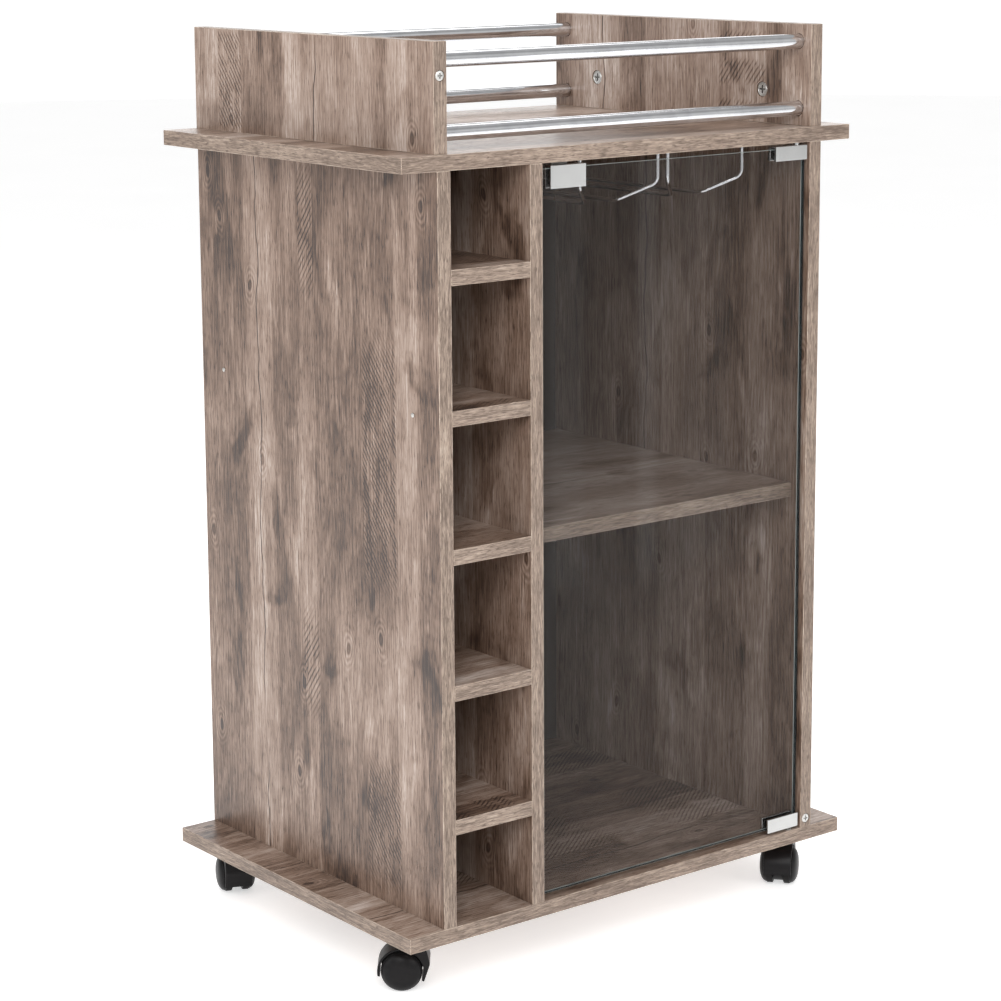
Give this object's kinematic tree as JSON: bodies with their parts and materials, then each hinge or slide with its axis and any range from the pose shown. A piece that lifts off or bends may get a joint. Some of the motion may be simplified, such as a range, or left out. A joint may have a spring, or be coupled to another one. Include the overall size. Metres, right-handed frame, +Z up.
{
  "type": "bar cart on wheels",
  "caption": "Wood bar cart on twin-wheel casters, with a stacked bottle rack, a glass-doored cabinet with stemware hangers, and a railed serving top.",
  "frame": {"origin": "on the floor, under the middle of the cart's base board", "axes": "+Z up, +X to the right as the glass door is faced, +Y to the back; the door and the bottle rack face -Y"},
  "size_m": [0.563, 0.408, 0.907],
  "materials": {
    "oak_board": "weathered grey-brown oak laminate with vertical plank bands, fine grain and saw marks, satin",
    "back_board": "thin printed hardboard, matt",
    "smoked_glass": "smoked grey-brown tempered glass with polished edges",
    "chrome": "polished chrome plate",
    "nickel_steel": "zinc and nickel plated steel, satin",
    "grey_plastic": "moulded grey plastic",
    "black_plastic": "moulded black nylon, slightly glossy"
  },
  "bodies": {
    "frame": {"base_board": "oak_board", "top_board": "oak_board", "left_side_panel": "oak_board", "right_side_panel": "oak_board", "divider_panel": "oak_board", "back_panel": "back_board", "cabinet_shelf": "oak_board", "gallery_panel_left": "oak_board", "gallery_panel_right": "oak_board", "pivot_bush_upper": "grey_plastic", "pivot_bush_lower": "grey_plastic", "latch_housing": "grey_plastic", "stemware_hanger_left": "chrome", "stemware_hanger_right": "chrome", "edge_screw_gallery": "nickel_steel", "edge_screw_side": "nickel_steel", "side_pin_front": "nickel_steel", "side_pin_rear": "nickel_steel", "bottle_shelf_1": "oak_board", "bottle_shelf_2": "oak_board", "bottle_shelf_3": "oak_board", "bottle_shelf_4": "oak_board", "bottle_shelf_5": "oak_board", "shelf_pin_left_front": "nickel_steel", "cam_lock_left_front": "nickel_steel", "shelf_pin_right_front": "nickel_steel", "cam_lock_right_front": "nickel_steel", "rail_front_lower": "chrome", "rail_front_upper": "chrome", "shelf_pin_left_rear": "nickel_steel", "cam_lock_left_rear": "nickel_steel", "shelf_pin_right_rear": "nickel_steel", "cam_lock_right_rear": "nickel_steel", "rail_rear_lower": "chrome", "rail_rear_upper": "chrome", "caster_plate_front_left": "nickel_steel", "caster_plate_front_right": "nickel_steel", "caster_plate_rear_left": "nickel_steel", "caster_plate_rear_right": "nickel_steel"},
    "door": {"glass_door": "smoked_glass", "hinge_clip_upper": "chrome", "hinge_clip_lower": "chrome", "strike_plate": "chrome"},
    "latch": {"latch_plunger": "nickel_steel"},
    "swivel_front_left": {"caster_hood_front_left": "black_plastic", "caster_axle_front_left": "nickel_steel"},
    "wheel_front_left_a": {"caster_wheel_front_left_a": "black_plastic"},
    "wheel_front_left_b": {"caster_wheel_front_left_b": "black_plastic"},
    "swivel_front_right": {"caster_hood_front_right": "black_plastic", "caster_axle_front_right": "nickel_steel"},
    "wheel_front_right_a": {"caster_wheel_front_right_a": "black_plastic"},
    "wheel_front_right_b": {"caster_wheel_front_right_b": "black_plastic"},
    "swivel_rear_left": {"caster_hood_rear_left": "black_plastic", "caster_axle_rear_left": "nickel_steel"},
    "wheel_rear_left_a": {"caster_wheel_rear_left_a": "black_plastic"},
    "wheel_rear_left_b": {"caster_wheel_rear_left_b": "black_plastic"},
    "swivel_rear_right": {"caster_hood_rear_right": "black_plastic", "caster_axle_rear_right": "nickel_steel"},
    "wheel_rear_right_a": {"caster_wheel_rear_right_a": "black_plastic"},
    "wheel_rear_right_b": {"caster_wheel_rear_right_b": "black_plastic"}
  },
  "joints": [
    {"name": "door_hinge", "type": "hinge", "parent": "frame", "child": "door", "pos_m": [0.213, -0.197, 0.43], "axis": [0, 0, 1], "range_deg": [0, 110]},
    {"name": "latch_travel", "type": "slide", "parent": "frame", "child": "latch", "axis": [0, -1, 0], "range_m": [0, 0.008]},
    {"name": "swivel_front_left", "type": "hinge", "parent": "frame", "child": "swivel_front_left", "pos_m": [-0.241, -0.16, 0.045], "axis": [0, 0, 1], "continuous": true},
    {"name": "roll_front_left_a", "type": "hinge", "parent": "swivel_front_left", "child": "wheel_front_left_a", "pos_m": [-0.25282, -0.15077, 0.02], "axis": [-0.6157, -0.788, 0], "continuous": true},
    {"name": "roll_front_left_b", "type": "hinge", "parent": "swivel_front_left", "child": "wheel_front_left_b", "pos_m": [-0.25282, -0.15077, 0.02], "axis": [-0.6157, -0.788, 0], "continuous": true},
    {"name": "swivel_front_right", "type": "hinge", "parent": "frame", "child": "swivel_front_right", "pos_m": [0.241, -0.16, 0.045], "axis": [0, 0, 1], "continuous": true},
    {"name": "roll_front_right_a", "type": "hinge", "parent": "swivel_front_right", "child": "wheel_front_right_a", "pos_m": [0.22951, -0.16964, 0.02], "axis": [0.6428, -0.766, 0], "continuous": true},
    {"name": "roll_front_right_b", "type": "hinge", "parent": "swivel_front_right", "child": "wheel_front_right_b", "pos_m": [0.22951, -0.16964, 0.02], "axis": [0.6428, -0.766, 0], "continuous": true},
    {"name": "swivel_rear_left", "type": "hinge", "parent": "frame", "child": "swivel_rear_left", "pos_m": [-0.241, 0.16, 0.045], "axis": [0, 0, 1], "continuous": true},
    {"name": "roll_rear_left_a", "type": "hinge", "parent": "swivel_rear_left", "child": "wheel_rear_left_a", "pos_m": [-0.23514, 0.17381, 0.02], "axis": [-0.9205, 0.3907, 0], "continuous": true},
    {"name": "roll_rear_left_b", "type": "hinge", "parent": "swivel_rear_left", "child": "wheel_rear_left_b", "pos_m": [-0.23514, 0.17381, 0.02], "axis": [-0.9205, 0.3907, 0], "continuous": true},
    {"name": "swivel_rear_right", "type": "hinge", "parent": "frame", "child": "swivel_rear_right", "pos_m": [0.241, 0.16, 0.045], "axis": [0, 0, 1], "continuous": true},
    {"name": "roll_rear_right_a", "type": "hinge", "parent": "swivel_rear_right", "child": "wheel_rear_right_a", "pos_m": [0.2546, 0.16634, 0.02], "axis": [-0.4226, 0.9063, 0], "continuous": true},
    {"name": "roll_rear_right_b", "type": "hinge", "parent": "swivel_rear_right", "child": "wheel_rear_right_b", "pos_m": [0.2546, 0.16634, 0.02], "axis": [-0.4226, 0.9063, 0], "continuous": true}
  ],
  "couplings": [
    {"joint": "latch_travel", "follows": "door_hinge", "m_per_rad": 0.004}
  ]
}
